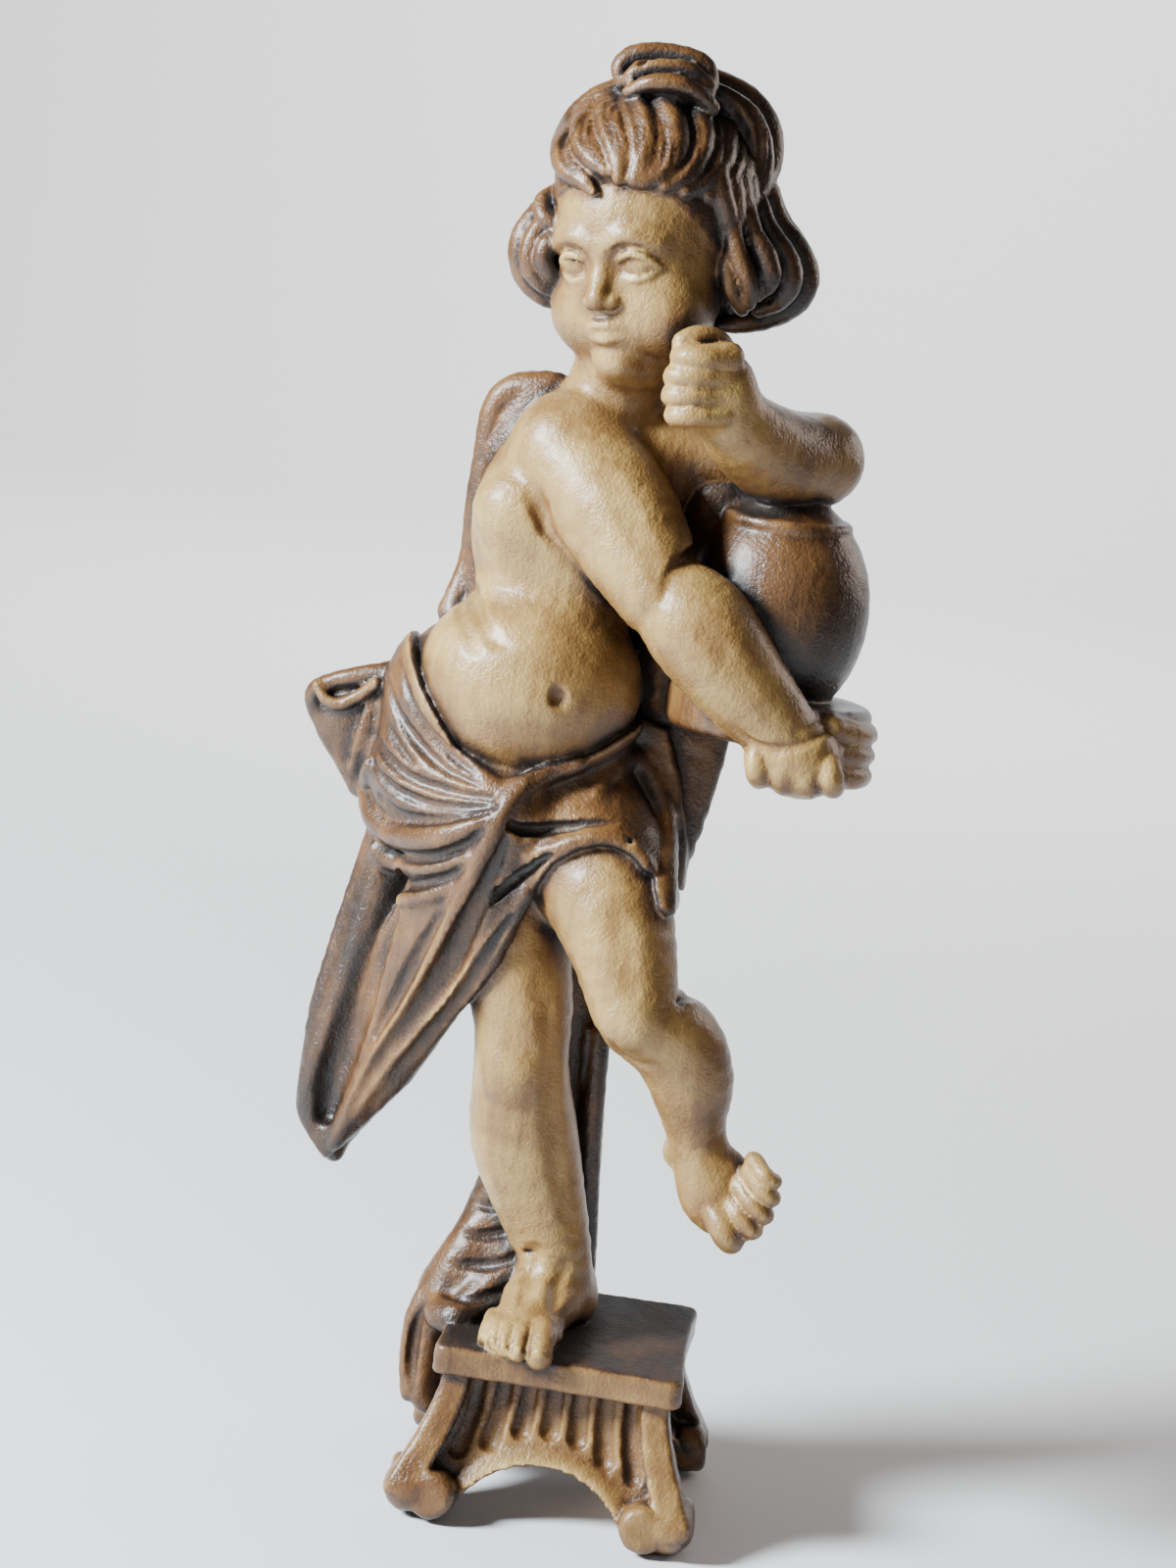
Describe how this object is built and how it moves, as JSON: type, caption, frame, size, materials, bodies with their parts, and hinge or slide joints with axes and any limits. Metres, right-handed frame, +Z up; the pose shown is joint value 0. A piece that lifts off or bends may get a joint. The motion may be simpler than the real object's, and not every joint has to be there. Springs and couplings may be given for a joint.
{
  "type": "carved wooden putto statue",
  "caption": "Carved wooden putto in a knotted cloth, with a leg raised, on a fluted pedestal and holding a round jar",
  "frame": {"origin": "middle of the bounding box at floor level, the plane that the four scrolled feet stand on", "axes": "+Z up, -Y the front that the figure faces, +X to the right of somebody looking at the front"},
  "size_m": [0.1766, 0.0974, 0.4498],
  "materials": {
    "stained_wood": "stained and waxed hand carved wood, satin, darker in the recesses"
  },
  "bodies": {
    "root": {"carved_putto": "stained_wood"}
  },
  "joints": []
}
